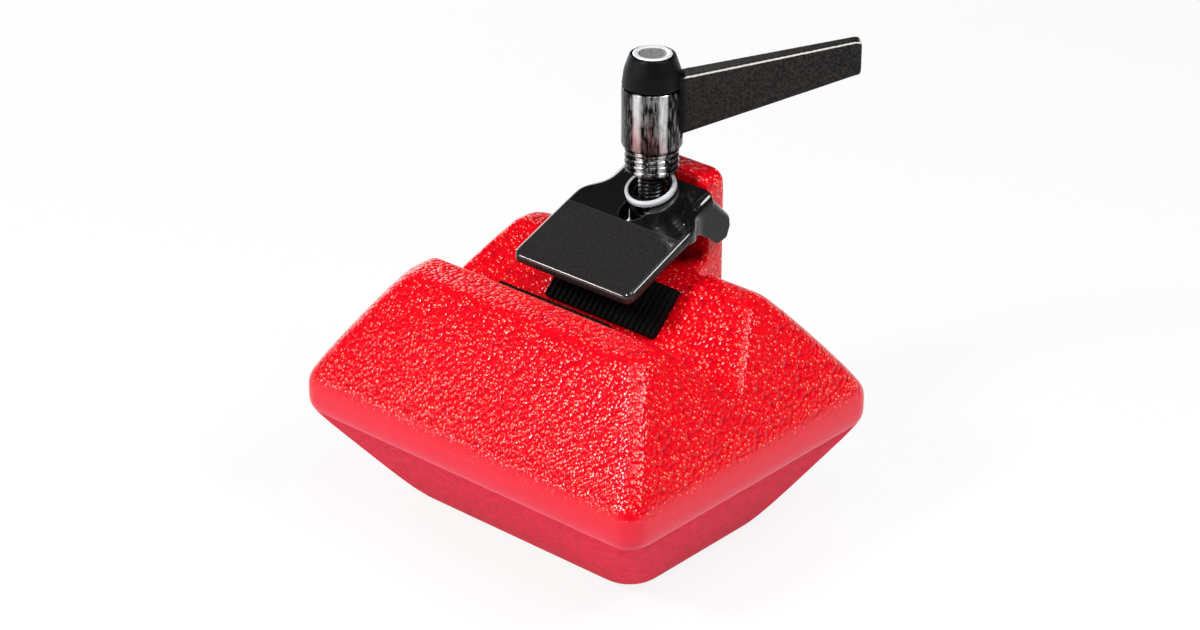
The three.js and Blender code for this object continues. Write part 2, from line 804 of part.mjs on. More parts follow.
// The polished sleeve round the hub's core, slotted from its top for the arm's root
function leverSleeve() {
  const inner = coreRadius + gap;
  const shell = solidOf(turned([
    [inner, sleeveStart],
    [sleeveRadius - sleeveChamfer, sleeveStart],
    [sleeveRadius, sleeveStart + sleeveChamfer],
    [sleeveRadius, sleeveEnd],
    [inner, sleeveEnd],
    [inner, sleeveStart],
  ], 44));
  const half = armRootThickness / 2 + gap;
  const slot = alongZ(outlineOf([
    [0, -half],
    [sleeveRadius + overrun, -half],
    [sleeveRadius + overrun, half],
    [0, half],
  ]), armRootBottom - gap, sleeveEnd + overrun);
  return shell.subtract(solidOf(slot)).rotate([0, 0, armAngle]);
}

// The plain cap that closes the hub: a disc with a raised rim
function leverCap() {
  return solidOf(turned([
    [0, capBottom],
    [capRadius, capBottom],
    [capRadius, hubTop],
    [capRadius - capRim / 2, hubTop + capRim / 2],
    [capRadius - capRim, hubTop + capRim / 2],
    [capRadius - 2 * capRim, hubTop - capRim / 3],
    [0, hubTop - capRim / 3],
  ]));
}

function named(name, solid, material) {
  const mesh = new THREE.Mesh(geometryOf(solid), material);
  mesh.name = name;
  return mesh;
}

const stageWeight = new THREE.Group();
stageWeight.add(
  named("weight_body", weightBody(), castRed),
  named("front_jaw_pad", jawPad(-1, frontPadEnd), padBlack),
  named("rear_jaw_pad", jawPad(1, rearPadEnd), padBlack),
  named("clamp_plate", clampPlate(), plateBlack),
  named("dished_washer", dishedWasher(), chromeSteel),
);

// Everything on the screw's axis stands in one group
const screwLine = new THREE.Group();
screwLine.position.set(0, screwY, 0);
const liftCoil = windSpring(
  "lift_spring",
  springRadius,
  springWire,
  springTurns,
  ledgeZ + gap,
  seatBottom - gap,
);
const returnCoil = windSpring(
  "lever_spring",
  returnRadius,
  returnWire,
  returnTurns,
  webTop + gap,
  screwHeadBottom - gap,
);
screwLine.add(
  named("spring_washer", springWasher(), turnedSteel),
  named("lift_spring", liftCoil, turnedSteel),
  named("lever_stud", leverStud(), darkSteel),
  named("lever_insert", leverInsert(), turnedSteel),
  named("lever_screw", leverScrew(), turnedSteel),
  named("lever_spring", returnCoil, turnedSteel),
  named("lever_sleeve", leverSleeve(), turnedSteel),
  named("lever_handle", leverHandle(), leverBlack),
  named("lever_cap", leverCap(), leverBlack),
);
stageWeight.add(screwLine);

export default stageWeight;
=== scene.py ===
import math

import bmesh
import bpy
from mathutils import Matrix, Vector


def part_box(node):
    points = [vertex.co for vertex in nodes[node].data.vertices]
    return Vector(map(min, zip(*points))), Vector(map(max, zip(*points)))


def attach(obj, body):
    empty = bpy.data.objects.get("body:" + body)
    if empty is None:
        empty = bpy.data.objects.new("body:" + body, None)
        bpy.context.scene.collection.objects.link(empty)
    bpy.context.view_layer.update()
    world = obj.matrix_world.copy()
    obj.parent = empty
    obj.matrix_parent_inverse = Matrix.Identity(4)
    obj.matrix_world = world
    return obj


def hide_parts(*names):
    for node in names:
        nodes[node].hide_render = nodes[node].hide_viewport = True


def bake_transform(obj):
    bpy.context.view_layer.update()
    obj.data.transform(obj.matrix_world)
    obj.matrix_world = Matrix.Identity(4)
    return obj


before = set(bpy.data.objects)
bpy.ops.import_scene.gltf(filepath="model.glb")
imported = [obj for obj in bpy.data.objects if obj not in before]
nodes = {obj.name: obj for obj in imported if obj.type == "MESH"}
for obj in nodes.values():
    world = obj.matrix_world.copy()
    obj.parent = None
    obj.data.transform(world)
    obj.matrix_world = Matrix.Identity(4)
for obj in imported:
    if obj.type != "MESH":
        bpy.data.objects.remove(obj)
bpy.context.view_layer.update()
mm = 0.001
fullTurn = 2 * math.pi
screwLineY = 29.1 * mm  # where the screw's upright axis stands
creaseMm = 16.4  # where the plate is creased across
mergeMm = 0.002  # points nearer than this are one
print("frame loaded:", len(nodes), "nodes")


# colour and node tools

def hexColour(code):
    # sRGB hex to the linear colour that the shader works in
    parts = [int(code[at:at + 2], 16) / 255 for at in (1, 3, 5)]
    return (*[p / 12.92 if p <= 0.04045 else ((p + 0.055) / 1.055) ** 2.4 for p in parts], 1.0)


def addNode(tree, kind, settings=None, links=None):
    # settings go to the node's sockets, or to the node itself, and links into its sockets
    node = tree.nodes.new(kind)
    for key, value in (settings or {}).items():
        if isinstance(key, int) or key in node.inputs:
            node.inputs[key].default_value = value
        else:
            setattr(node, key, value)
    for key, source in (links or {}).items():
        tree.links.new(source, node.inputs[key])
    return node


def newMaterial(name, shaderSettings):
    # returns the material, its tree, its shader and the piece's own coordinates
    material = bpy.data.materials.new(name)
    material.use_nodes = True
    tree = material.node_tree
    shader = tree.nodes["Principled BSDF"]
    for key, value in shaderSettings.items():
        shader.inputs[key].default_value = value
    place = addNode(tree, "ShaderNodeTexCoord").outputs["Object"]
    return material, tree, shader, place


def setStops(ramp, stops):
    # stops of a colour ramp: place and hex colour, or place and grey
    elements = ramp.color_ramp.elements
    while len(elements) < len(stops):
        elements.new(0.5)
    for element, (at, shade) in zip(elements, stops):
        element.position = at
        element.color = hexColour(shade) if isinstance(shade, str) else (shade, shade, shade, 1)


# materials

# glossy red powder coat, sprayed thick on sand-cast iron: the sand's grain stands through it above
# the band as small round bumps that each catch the light, and it lies smooth on the band and below.
# The bumps are drawn as coarse as they need to be to show; their tops are painted pale as painted
# glints, and the hollows between them a deeper red as painted shade
castCoat = {
    "red": "#f00318", "deep": "#cf0019", "crest": "#f4140f", "paintedGlintAndDustSpeck": "#ffa482",
    "low": "#ea0a2c", "under": "#e4143e", "deepUnder": "#cc0a32",
    "grainMm": 1.35, "swirlMm": 2.0, "swirlReachMm": 0.5, "bumpMm": 0.27,
    "fineMm": 0.6, "fineBumpMm": 0.05, "lowGrain": 0.07,
    "smoothBelowMm": 40.0, "grainAboveMm": 44.0, "underShadeFromMm": 38.5, "underBelowMm": 31.4,
    "underBumpMm": 0.1,
}


def makeCastCoat():
    c = castCoat
    material, tree, shader, place = newMaterial("red_powder_coat_on_sand_cast_iron", {
        "Roughness": 0.17, "IOR": 1.5, "Specular IOR Level": 0.42,
    })
    swirl = addNode(tree, "ShaderNodeTexNoise", {"Scale": 1 / (c["swirlMm"] * mm), "Detail": 1.0},
                    {"Vector": place})
    reach = c["swirlReachMm"] * mm
    pushed = addNode(tree, "ShaderNodeVectorMath", {"operation": "MULTIPLY_ADD", 1: (reach, reach, reach)},
                     {0: swirl.outputs["Color"], 2: place})
    cells = addNode(tree, "ShaderNodeTexVoronoi", {
        "feature": "SMOOTH_F1", "Scale": 1 / (c["grainMm"] * mm), "Smoothness": 0.15,
    }, {"Vector": pushed.outputs[0]})
    grain = addNode(tree, "ShaderNodeMath", {"operation": "POWER", 1: 2.0}, {0: cells.outputs["Distance"]})
    fine = addNode(tree, "ShaderNodeTexNoise", {"Scale": 1 / (c["fineMm"] * mm), "Detail": 2.0},
                   {"Vector": place})
    split = addNode(tree, "ShaderNodeSeparateXYZ", {}, {0: place})
    above = addNode(tree, "ShaderNodeMapRange", {
        "From Min": c["smoothBelowMm"] * mm, "From Max": c["grainAboveMm"] * mm, "To Min": c["lowGrain"],
    }, {"Value": split.outputs["Z"]})
    body = addNode(tree, "ShaderNodeValToRGB", {}, {"Fac": grain.outputs[0]})
    # pale at each bump's top: painted glints; a deeper red in the hollows between: painted shade
    setStops(body, [
        (0.024, c["paintedGlintAndDustSpeck"]), (0.05, c["crest"]), (0.12, c["red"]), (0.34, c["red"]), (0.6, c["deep"]),
    ])
    tinted = addNode(tree, "ShaderNodeMix", {"data_type": "RGBA", 6: hexColour(c["low"])},
                     {0: above.outputs[0], 7: body.outputs["Color"]})
    # towards the bottom of the band the colour is painted over into the underside's crimson: painted shade
    edge = addNode(tree, "ShaderNodeMapRange", {
        "From Min": c["underShadeFromMm"] * mm, "From Max": c["underBelowMm"] * mm,
    }, {"Value": split.outputs["Z"]})
    edged = addNode(tree, "ShaderNodeMix", {"data_type": "RGBA", 7: hexColour(c["under"])},
                    {0: edge.outputs[0], 6: tinted.outputs[2]})
    tree.links.new(edged.outputs[2], shader.inputs["Base Color"])
    grainBump = addNode(tree, "ShaderNodeBump", {"Distance": c["bumpMm"] * mm, "invert": True},
                        {"Strength": above.outputs[0], "Height": grain.outputs[0]})
    fineBump = addNode(tree, "ShaderNodeBump", {"Strength": 0.3, "Distance": c["fineBumpMm"] * mm},
                       {"Height": fine.outputs["Fac"], "Normal": grainBump.outputs[0]})
    tree.links.new(fineBump.outputs[0], shader.inputs["Normal"])
    return material


# the same paint underneath: matt, with little gloss, and painted a deeper, bluer crimson as painted shade
def makeUnderCoat():
    c = castCoat
    material, tree, shader, place = newMaterial("matt_red_coat_underneath_painted_shade", {
        "Roughness": 0.6, "IOR": 1.5, "Specular IOR Level": 0.1,
    })
    mottle = addNode(tree, "ShaderNodeTexNoise", {"Scale": 1 / (c["swirlMm"] * mm), "Detail": 4.0},
                     {"Vector": place})
    shade = addNode(tree, "ShaderNodeValToRGB", {}, {"Fac": mottle.outputs["Fac"]})
    setStops(shade, [(0.35, c["deepUnder"]), (0.6, c["under"])])
    tree.links.new(shade.outputs["Color"], shader.inputs["Base Color"])
    grain = addNode(tree, "ShaderNodeTexNoise", {"Scale": 1 / (c["grainMm"] * mm), "Detail": 2.0},
                    {"Vector": place})
    bump = addNode(tree, "ShaderNodeBump", {"Strength": 0.3, "Distance": c["underBumpMm"] * mm},
                   {"Height": grain.outputs["Fac"]})
    tree.links.new(bump.outputs[0], shader.inputs["Normal"])
    return material


# black semi-gloss coat on pressed steel: a fine grain, drawn coarse enough to show, duller on the flat in
# front of the crease and painted paler grey there as painted light, near black and glossier behind it as
# painted shade, with a pale line painted along the crease as a painted highlight, bright along every
# bend, and thin on the walls
plateCoat = {
    "black": "#080808", "shadedRearHigh": "#131212", "paintedLitGrey": "#1a1918", "paintedLitGreyHigh": "#2c2a28",
    "dust": "#b5b1aa", "dustMm": 6.5, "paintedCreaseLine": "#3c3935", "paintedCreaseLineMm": 0.3, "blendMm": 0.3,
    "grainMm": 0.5, "bumpMm": 0.03, "wallCoat": 0.25,
}


def makePlateCoat():
    c = plateCoat
    material, tree, shader, place = newMaterial("black_coat_on_pressed_steel", {
        "IOR": 1.5, "Specular IOR Level": 0.1, "Coat Weight": 1.0, "Coat Roughness": 0.08, "Coat IOR": 1.6,
    })
    grain = addNode(tree, "ShaderNodeTexNoise", {"Scale": 1 / (c["grainMm"] * mm), "Detail": 2.0},
                    {"Vector": place})
    split = addNode(tree, "ShaderNodeSeparateXYZ", {}, {0: place})
    front = addNode(tree, "ShaderNodeMapRange", {
        "From Min": (creaseMm + c["blendMm"]) * mm, "From Max": (creaseMm - c["blendMm"]) * mm,
    }, {"Value": split.outputs["Y"]})
    behind = addNode(tree, "ShaderNodeValToRGB", {}, {"Fac": grain.outputs["Fac"]})
    setStops(behind, [(0.35, c["black"]), (0.7, c["shadedRearHigh"])])
    paintedLitGrey = addNode(tree, "ShaderNodeValToRGB", {}, {"Fac": grain.outputs["Fac"]})
    setStops(paintedLitGrey, [(0.35, c["paintedLitGrey"]), (0.68, c["paintedLitGreyHigh"])])
    # paler grey in front of the crease, near black behind it: painted light and shade
    shade = addNode(tree, "ShaderNodeMix", {"data_type": "RGBA"},
                    {0: front.outputs[0], 6: behind.outputs["Color"], 7: paintedLitGrey.outputs["Color"]})
    # a pale line painted along the crease: a painted highlight
    fromCrease = addNode(tree, "ShaderNodeMath", {"operation": "SUBTRACT", 1: creaseMm * mm},
                         {0: split.outputs["Y"]})
    nearness = addNode(tree, "ShaderNodeMath", {"operation": "ABSOLUTE"}, {0: fromCrease.outputs[0]})
    paintedHighlight = addNode(tree, "ShaderNodeMapRange", {
        "From Min": 0.0, "From Max": c["paintedCreaseLineMm"] * mm, "To Min": 0.7, "To Max": 0.0,
    }, {"Value": nearness.outputs[0]})
    edged = addNode(tree, "ShaderNodeMix", {"data_type": "RGBA", 7: hexColour(c["paintedCreaseLine"])},
                    {0: paintedHighlight.outputs[0], 6: shade.outputs[2]})
    # a few grains of dust
    paintedGlintAndDustSpeck = addNode(tree, "ShaderNodeTexVoronoi", {"Scale": 1 / (c["dustMm"] * mm)}, {"Vector": place})
    dust = addNode(tree, "ShaderNodeValToRGB", {}, {"Fac": paintedGlintAndDustSpeck.outputs["Distance"]})
    setStops(dust, [(0.0, 1.0), (0.03, 1.0), (0.045, 0.0)])
    dusty = addNode(tree, "ShaderNodeMix", {"data_type": "RGBA", 7: hexColour(c["dust"])},
                    {0: dust.outputs["Color"], 6: edged.outputs[2]})
    tree.links.new(dusty.outputs[2], shader.inputs["Base Color"])
    # less gloss on the walls that face sideways
    facing = addNode(tree, "ShaderNodeSeparateXYZ", {},
                     {0: tree.nodes["Texture Coordinate"].outputs["Normal"]})
    aside = addNode(tree, "ShaderNodeMath", {"operation": "ABSOLUTE"}, {0: facing.outputs["X"]})
    coated = addNode(tree, "ShaderNodeMapRange", {
        "From Min": 0.8, "From Max": 0.97, "To Min": 1.0, "To Max": c["wallCoat"],
    }, {"Value": aside.outputs[0]})
    tree.links.new(coated.outputs[0], shader.inputs["Coat Weight"])
    rough = addNode(tree, "ShaderNodeMapRange", {"To Min": 0.3, "To Max": 0.5}, {"Value": front.outputs[0]})
    tree.links.new(rough.outputs[0], shader.inputs["Roughness"])
    bump = addNode(tree, "ShaderNodeBump", {"Strength": 0.6, "Distance": c["bumpMm"] * mm},
                   {"Height": grain.outputs["Fac"]})
    tree.links.new(bump.outputs[0], shader.inputs["Normal"])
    return material


# black wrinkle powder coat on die-cast zinc: a pebbled, duller grain than the plate's, blacker on the
# hub, with a pale line painted along the arm's upper edges as a painted highlight
leverCoat = {
    "black": "#100f0e", "grey": "#2e2c29", "hub": "#030303", "paintedHighlight": "#cfccc7",
    "hubMm": 9.4, "armMm": 10.4, "grainMm": 0.7, "bumpMm": 0.14,
}


def makeLeverCoat():
    c = leverCoat
    material, tree, shader, place = newMaterial("black_powder_coat_on_die_cast_zinc", {
        "Roughness": 0.42, "IOR": 1.5, "Specular IOR Level": 0.16,
    })
    grain = addNode(tree, "ShaderNodeTexNoise", {"Scale": 1 / (c["grainMm"] * mm), "Detail": 2.0},
                    {"Vector": place})
    shade = addNode(tree, "ShaderNodeValToRGB", {}, {"Fac": grain.outputs["Fac"]})
    setStops(shade, [(0.38, c["black"]), (0.66, c["grey"])])
    # the hub ends at a distance from the screw's axis
    around = addNode(tree, "ShaderNodeMapping", {"Location": (0, -screwLineY, 0), "Scale": (1, 1, 0)},
                     {"Vector": place})
    reach = addNode(tree, "ShaderNodeVectorMath", {"operation": "LENGTH"}, {0: around.outputs[0]})
    onArm = addNode(tree, "ShaderNodeMapRange", {"From Min": c["hubMm"] * mm, "From Max": c["armMm"] * mm},
                    {"Value": reach.outputs["Value"]})
    whole = addNode(tree, "ShaderNodeMix", {"data_type": "RGBA", 6: hexColour(c["hub"])},
                    {0: onArm.outputs[0], 7: shade.outputs["Color"]})
    # an upper edge faces neither up nor sideways
    facing = addNode(tree, "ShaderNodeSeparateXYZ", {},
                     {0: tree.nodes["Texture Coordinate"].outputs["Normal"]})
    risen = addNode(tree, "ShaderNodeValToRGB", {}, {"Fac": facing.outputs["Z"]})
    setStops(risen, [(0.35, 0.0), (0.5, 1.0), (0.8, 1.0), (0.92, 0.0)])
    onEdge = addNode(tree, "ShaderNodeMath", {"operation": "MULTIPLY"},
                     {0: risen.outputs["Color"], 1: onArm.outputs[0]})
    # the pale line on the arm's upper edges is a painted highlight
    edged = addNode(tree, "ShaderNodeMix", {"data_type": "RGBA", 7: hexColour(c["paintedHighlight"])},
                    {0: onEdge.outputs[0], 6: whole.outputs[2]})
    tree.links.new(edged.outputs[2], shader.inputs["Base Color"])
    bump = addNode(tree, "ShaderNodeBump", {"Strength": 0.75, "Distance": c["bumpMm"] * mm},
                   {"Height": grain.outputs["Fac"]})
    tree.links.new(bump.outputs[0], shader.inputs["Normal"])
    return material


# turned steel: the tool's fine rings draw each light out upright, and a finer mottle runs down its
# length. Where bands are given, broad dark and bright bands are painted round it as painted
# reflections. The rings are drawn coarser than they are, so that they show
turnedFinish = {
    "streakMm": 0.8, "streakStretch": 0.2, "mottle": 0.42, "bandsAround": 3, "bandShift": 1.1517,
    "ringMm": 0.3, "ringStretch": 0.05, "ringBumpMm": 0.012,
}


def makeTurnedSteel(name, roughness, bright, dark, settings=None, bands=None):
    c = turnedFinish
    settings = {"Metallic": 1.0, "Roughness": roughness, **(settings or {})}
    material, tree, shader, place = newMaterial(name, settings)
    around = addNode(tree, "ShaderNodeMapping", {
        "Location": (0, -screwLineY, 0), "Scale": (1, 1, c["streakStretch"]),
    }, {"Vector": place})
    streak = addNode(tree, "ShaderNodeTexNoise", {
        "Scale": 1 / (c["streakMm"] * mm), "Detail": 3.0, "Roughness": 0.6,
    }, {"Vector": around.outputs[0]})
    mottle = addNode(tree, "ShaderNodeMapRange", {
        "From Min": 0.35, "From Max": 0.65, "To Min": -c["mottle"] / 2, "To Max": c["mottle"] / 2,
    }, {"Value": streak.outputs["Fac"]})
    if bands:
        split = addNode(tree, "ShaderNodeSeparateXYZ", {}, {0: around.outputs[0]})
        angle = addNode(tree, "ShaderNodeMath", {"operation": "ARCTAN2"},
                        {0: split.outputs["Y"], 1: split.outputs["X"]})
        turned = addNode(tree, "ShaderNodeMath", {
            "operation": "MULTIPLY_ADD", 1: c["bandsAround"] / fullTurn, 2: c["bandShift"],
        }, {0: angle.outputs[0]})
        across = addNode(tree, "ShaderNodeMath", {"operation": "FRACT"}, {0: turned.outputs[0]})
        band = addNode(tree, "ShaderNodeValToRGB", {}, {"Fac": across.outputs[0]})
        setStops(band, bands)
        level = addNode(tree, "ShaderNodeMath", {"operation": "ADD", "use_clamp": True},
                        {0: band.outputs["Color"], 1: mottle.outputs[0]})
    else:
        level = addNode(tree, "ShaderNodeMath", {"operation": "ADD", "use_clamp": True, 1: 0.5},
                        {0: mottle.outputs[0]})
    shade = addNode(tree, "ShaderNodeMix", {"data_type": "RGBA", 6: hexColour(dark), 7: hexColour(bright)},
                    {0: level.outputs[0]})
    tree.links.new(shade.outputs[2], shader.inputs["Base Color"])
    lathe = addNode(tree, "ShaderNodeMapping", {"Scale": (c["ringStretch"], c["ringStretch"], 1)},
                    {"Vector": place})
    rings = addNode(tree, "ShaderNodeTexNoise", {"Scale": 1 / (c["ringMm"] * mm), "Detail": 1.0},
                    {"Vector": lathe.outputs[0]})
    bump = addNode(tree, "ShaderNodeBump", {"Strength": 0.35, "Distance": c["ringBumpMm"] * mm},
                   {"Height": rings.outputs["Fac"]})
    tree.links.new(bump.outputs[0], shader.inputs["Normal"])
    if "Anisotropic" in settings:
        grainLine = addNode(tree, "ShaderNodeTangent", {"direction_type": "RADIAL", "axis": "Z"})
        tree.links.new(grainLine.outputs[0], shader.inputs["Tangent"])
    return material


# moulded black rubber: dull, with a faint bloom on the ribs
padRubber = {"black": "#060505", "bloom": "#100e0e", "grainMm": 0.5, "bumpMm": 0.03}


def makePadRubber():
    c = padRubber
    material, tree, shader, place = newMaterial("moulded_black_rubber", {
        "Roughness": 0.8, "IOR": 1.5, "Specular IOR Level": 0.12,
    })
    grain = addNode(tree, "ShaderNodeTexNoise", {"Scale": 1 / (c["grainMm"] * mm), "Detail": 3.0},
                    {"Vector": place})
    shade = addNode(tree, "ShaderNodeValToRGB", {}, {"Fac": grain.outputs["Fac"]})
    setStops(shade, [(0.35, c["black"]), (0.75, c["bloom"])])
    tree.links.new(shade.outputs["Color"], shader.inputs["Base Color"])
    bump = addNode(tree, "ShaderNodeBump", {"Strength": 0.4, "Distance": c["bumpMm"] * mm},
                   {"Height": grain.outputs["Fac"]})
    tree.links.new(bump.outputs[0], shader.inputs["Normal"])
    return material


castMaterial = makeCastCoat()
underMaterial = makeUnderCoat()
plateMaterial = makePlateCoat()
leverMaterial = makeLeverCoat()
rubberMaterial = makePadRubber()
# painted reflections along one band: dark, a narrow bright stripe, nearly dark, a second bright stripe
paintedReflectionBands = [
    (0.0, 0.0), (0.4, 0.0), (0.46, 1.0), (0.53, 1.0), (0.58, 0.12),
    (0.84, 0.15), (0.88, 0.8), (0.96, 0.7), (1.0, 0.1),
]
sleeveMaterial = makeTurnedSteel("turned_steel_with_painted_reflections", 0.3, "#dfe3e4", "#0e0d0d", {
    "Anisotropic": 0.6, "Anisotropic Rotation": 0.25,
}, paintedReflectionBands)
zincMaterial = makeTurnedSteel("bright_zinc_plated_steel", 0.3, "#ffffff", "#f2f8fb", {"Metallic": 0.3})
studMaterial = makeTurnedSteel("black_oxide_rolled_steel", 0.28, "#4a4a4c", "#141416")
springMaterial = makeTurnedSteel("oiled_spring_wire", 0.4, "#4b4b50", "#1f1f22")
capMaterial = makeTurnedSteel("spun_grey_cap_disc", 0.5, "#c9c9c7", "#3a3a3a", {"Metallic": 0.5})
print("materials made")


# mesh tools

def takeCopy(node):
    # a CAD node's mesh is loose triangles, so its copy is merged first
    bm = bmesh.new()
    bm.from_mesh(nodes[node].data)
    bmesh.ops.remove_doubles(bm, verts=bm.verts, dist=mergeMm * mm)
    return bm


def boxHeights(node):
    # a CAD node's lowest and highest point in mm
    return [corner.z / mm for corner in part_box(node)]


def makePiece(name, bm, materials=()):
    mesh = bpy.data.meshes.new(name)
    bm.to_mesh(mesh)
    bm.free()
    piece = bpy.data.objects.new(name, mesh)
    bpy.context.scene.collection.objects.link(piece)
    for material in materials:
        mesh.materials.append(material)
    return piece


def applyModifiers(piece):
    graph = bpy.context.evaluated_depsgraph_get()
    done = bpy.data.meshes.new_from_object(piece.evaluated_get(graph))
    old = piece.data
    piece.modifiers.clear()
    piece.data = done
    done.name = piece.name
    bpy.data.meshes.remove(old)


def remeshPiece(piece, voxelMm, rounds):
    # one even skin over shapes that meet, then its edges are rubbed soft
    piece.modifiers.new("skin", "REMESH").voxel_size = voxelMm * mm
    smooth = piece.modifiers.new("soften", "SMOOTH")
    smooth.factor = 0.5
    smooth.iterations = rounds
    applyModifiers(piece)


def cutAway(piece, cutter):
    cut = piece.modifiers.new("cut", "BOOLEAN")
    cut.operation = "DIFFERENCE"
    cut.solver = "EXACT"
    cut.object = cutter
    applyModifiers(piece)
    bpy.data.objects.remove(cutter)


def roundEdges(piece, widthMm, segments, angle=32):
    bevel = piece.modifiers.new("edges", "BEVEL")
    bevel.width = widthMm * mm
    bevel.segments = segments
    bevel.limit_method = "ANGLE"
    bevel.angle_limit = math.radians(angle)
    applyModifiers(piece)


def placePiece(piece, body, node, sharpAngle=40):
    # shades the piece, hides the CAD node that it stands in for, and hangs it on the body that it moves
    # with, where one is given
    for face in piece.data.polygons:
        face.use_smooth = True
    piece.data.set_sharp_from_angle(angle=math.radians(sharpAngle))
    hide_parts(node)
    if body:
        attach(piece, body)
    print("made", piece.name, len(piece.data.polygons), "faces")


def ofKind(items, kind):
    # the verts, edges or faces among what an operator gives back
    return [item for item in items if isinstance(item, kind)]


def spinProfile(profile, steps=96):
    # a profile of radius and height in mm, spun about the upright axis of the screw
    bm = bmesh.new()
    verts = [bm.verts.new((radius * mm, screwLineY, height * mm)) for radius, height in profile]
    edges = [bm.edges.new(pair) for pair in zip(verts, verts[1:])]
    bmesh.ops.spin(bm, geom=verts + edges, cent=(0, screwLineY, 0), axis=(0, 0, 1), angle=fullTurn,
                   steps=steps, use_merge=True, use_duplicate=False)
    bmesh.ops.remove_doubles(bm, verts=bm.verts, dist=mergeMm * mm)
    bmesh.ops.recalc_face_normals(bm, faces=bm.faces)
    return bm


def coilUp(wire, radius, bottom, rises):
    # a round wire's end, spun up the axis one stretch after another: turns and rise in mm
    stepsPerTurn = 36
    bm = bmesh.new()
    rim = bmesh.ops.create_circle(bm, cap_ends=True, radius=wire / 2 * mm, segments=14)["verts"]
    bmesh.ops.rotate(bm, verts=rim, cent=(0, 0, 0), matrix=Matrix.Rotation(math.radians(90), 3, "X"))
    bmesh.ops.translate(bm, verts=rim, vec=(radius * mm, screwLineY, bottom * mm))
    front = [face for face in bm.faces if rim[0] in face.verts]
    for turns, rise in rises:
        steps = max(1, round(turns * stepsPerTurn))
        edges = list({edge for face in front for edge in face.edges})
        verts = list({vert for face in front for vert in face.verts})
        made = bmesh.ops.spin(bm, geom=front + edges + verts, cent=(0, screwLineY, 0), axis=(0, 0, 1),
                              angle=turns * fullTurn, dvec=(0, 0, rise * mm / steps), steps=steps,
                              use_duplicate=False)
        front = ofKind(made["geom_last"], bmesh.types.BMFace)
    bmesh.ops.recalc_face_normals(bm, faces=bm.faces)
    return bm


# the casting: the frame's own form with every edge rubbed round, as sand casting leaves it

casting = {"voxelMm": 0.78, "rounds": 14}
weight = makePiece("weight_casting", takeCopy("weight_body"), [castMaterial])
remeshPiece(weight, casting["voxelMm"], casting["rounds"])
weight.data.materials.append(underMaterial)
for face in weight.data.polygons:
    # below this height the underside takes the matt coat with its painted shade
    face.material_index = 1 if face.center.z < castCoat["underBelowMm"] * mm else 0
placePiece(weight, "weight", "weight_body", sharpAngle=80)


# rubber pads: their ribs keep their shape and lose their sharp edges

padEdge = {"widthMm": 0.16, "segments": 2}
for side in ("front", "rear"):
    pad = makePiece(side + "_pad_ribbed", takeCopy(side + "_jaw_pad"), [rubberMaterial])
    roundEdges(pad, padEdge["widthMm"], padEdge["segments"])
    placePiece(pad, "weight", side + "_jaw_pad")


# the clamp plate: a pressed sheet with a turned lip that deepens into two ears, all in mm

plate = {
    "frontY": -6.5, "creaseY": creaseMm, "rearY": 36.3,
    "frontZ": 79.2, "frontSlope": 0.393, "rearSlope": 0.383,
    "frontHalf": 22.9, "shoulderHalf": 22.6, "channelHalf": 17.8, "corner": 2.5,
    "shoulderStartY": 19.5, "shoulderEndY": 32.5, "frontEdgeX": (0, 5, 10, 15),
    "sheet": 2.1, "lip": 3.2, "edgeBend": 1.5, "channelBend": 3.7, "innerBend": 0.3,
    "bendFromY": 21, "bendOverY": 9,
    "deepenY": 19.5, "deepenRate": 0.55, "earY": 29.6, "earRate": 0.48,
    "slotHalf": 4.35, "slotFrontY": 16.8, "slotRearY": 33.9, "cutFromZ": 70, "cutHeight": 40,
    "shadeSkirtEndY": 24.35, "shadeSkirtWall": 1.1, "shadeSkirtDepth": 6.6, "shadeSkirtSunk": 0.4,
    "voxelMm": 0.3, "rounds": 4,
}
# the ear's outline seen from the side, y and z, and how far its shoulder falls to its outer face
earOutline = [
    ((29.6, 86.0), (0, 0)), ((34.8, 81.3), (0, 0)), ((38.7, 78.1), (0, 0)),
    ((42.7, 79.0), (0, 0)), ((44.1, 82.5), (0, 0)), ((44.1, 86.1), (-0.4, -1.4)),
    ((38.2, 92.2), (-1.2, -2.0)), ((36.0, 94.8), (-1.5, -3.2)), ((33.0, 93.0), (-0.6, -3.4)),
]
# how far in from the ear's outer face each layer lies, and its share of that fall
earLayers = ((2.1, 0.0), (1.1, 0.15), (0.45, 0.5), (0.0, 1.0))


def plateZ(y):
    p = plate
    creaseZ = p["frontZ"] + (p["creaseY"] - p["frontY"]) * p["frontSlope"]
    return creaseZ + (y - p["creaseY"]) * (p["frontSlope"] if y < p["creaseY"] else p["rearSlope"])


def plateOutline():
    # the right half in plan, from the middle of the front edge to the rear end: place and outward normal
    p = plate
    path = [Vector((x, p["frontY"])) for x in p["frontEdgeX"]]
    centre = Vector((p["frontHalf"] - p["corner"], p["frontY"] + p["corner"]))
    for step in range(9):
        turn = math.radians(-90 + 90 * step / 8)
        path.append(centre + p["corner"] * Vector((math.cos(turn), math.sin(turn))))
    last = path[-1]
    start = Vector((p["shoulderHalf"], p["shoulderStartY"]))
    end = Vector((p["channelHalf"], p["shoulderEndY"]))
    path += [last.lerp(start, step / 6) for step in range(1, 6)]
    # the shoulder runs in to the channel on an even S
    reach = Vector((0, (end.y - start.y) * 0.5))
    for step in range(21):
        t = step / 20
        path.append((1 - t) ** 3 * start + 3 * (1 - t) ** 2 * t * (start + reach)
                    + 3 * (1 - t) * t * t * (end - reach) + t ** 3 * end)
    path += [end.lerp(Vector((p["channelHalf"], p["rearY"])), step / 3) for step in range(1, 4)]
    normals = []
    for at in range(len(path)):
        along = path[min(at + 1, len(path) - 1)] - path[max(at - 1, 0)]
        normals.append(Vector((along.y, -along.x)).normalized())
    normals[0] = Vector((0, -1))
    return list(zip(path, normals))


